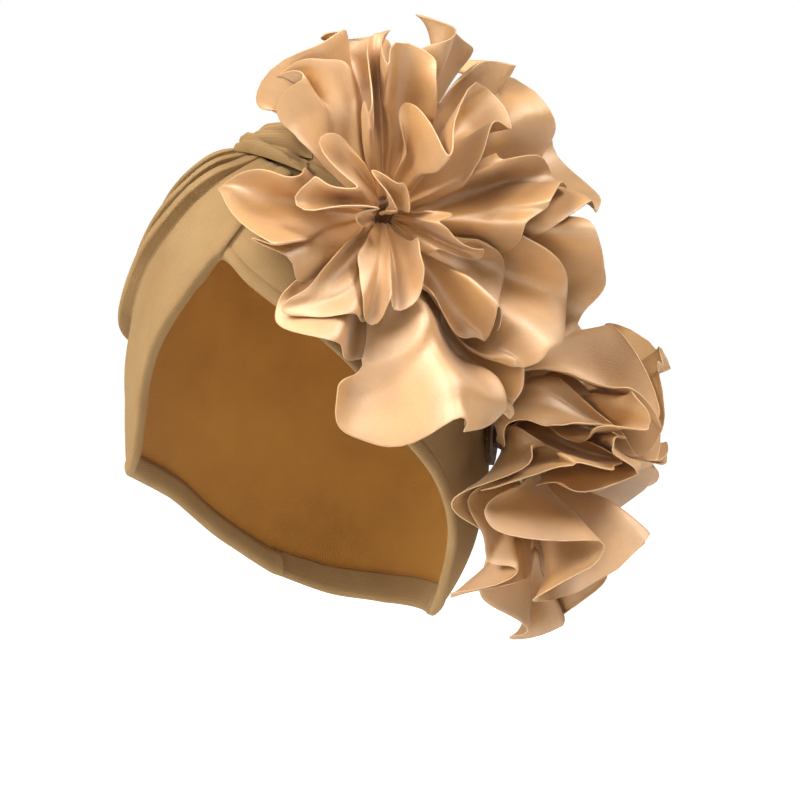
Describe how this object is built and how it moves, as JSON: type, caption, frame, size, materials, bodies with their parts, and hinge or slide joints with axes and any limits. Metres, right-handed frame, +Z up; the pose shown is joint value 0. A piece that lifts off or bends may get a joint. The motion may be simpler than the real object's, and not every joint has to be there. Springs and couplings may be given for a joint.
{
  "type": "turban cap",
  "caption": "Stretch jersey turban cap with pleated bands, a twist over the brow, and large ruffled satin flowers at the side.",
  "frame": {"origin": "inside of the crown, at the point where the top of the head touches the cloth", "axes": "+Z up out of the head; -Y forward, the way the face opening looks; +X towards the wearer's left, where the flowers are"},
  "size_m": [0.2426, 0.2396, 0.284],
  "materials": {
    "jersey": "fine matt stretch jersey, camel",
    "felt": "matt felt, dark brown",
    "satin": "soft satin, caramel with a rose-champagne sheen"
  },
  "bodies": {
    "root": {"crown": "jersey", "left_band": "jersey", "right_band": "jersey", "twist_back": "jersey", "twist_lower": "jersey", "twist_upper": "jersey", "lower_core": "felt", "upper_core": "felt", "lower_petal_01": "satin", "lower_petal_02": "satin", "lower_petal_03": "satin", "lower_petal_04": "satin", "lower_petal_05": "satin", "lower_petal_06": "satin", "lower_petal_07": "satin", "lower_petal_08": "satin", "lower_petal_09": "satin", "lower_petal_10": "satin", "lower_petal_11": "satin", "lower_petal_12": "satin", "lower_petal_13": "satin", "lower_petal_14": "satin", "lower_petal_15": "satin", "lower_petal_16": "satin", "lower_petal_17": "satin", "lower_petal_18": "satin", "upper_petal_01": "satin", "upper_petal_02": "satin", "upper_petal_03": "satin", "upper_petal_04": "satin", "upper_petal_05": "satin", "upper_petal_06": "satin", "upper_petal_07": "satin", "upper_petal_08": "satin", "upper_petal_09": "satin", "upper_petal_10": "satin", "upper_petal_11": "satin", "upper_petal_12": "satin", "upper_petal_13": "satin", "upper_petal_14": "satin", "upper_petal_15": "satin", "upper_petal_16": "satin", "upper_petal_17": "satin", "upper_petal_18": "satin", "upper_petal_19": "satin", "upper_petal_20": "satin"}
  },
  "joints": []
}
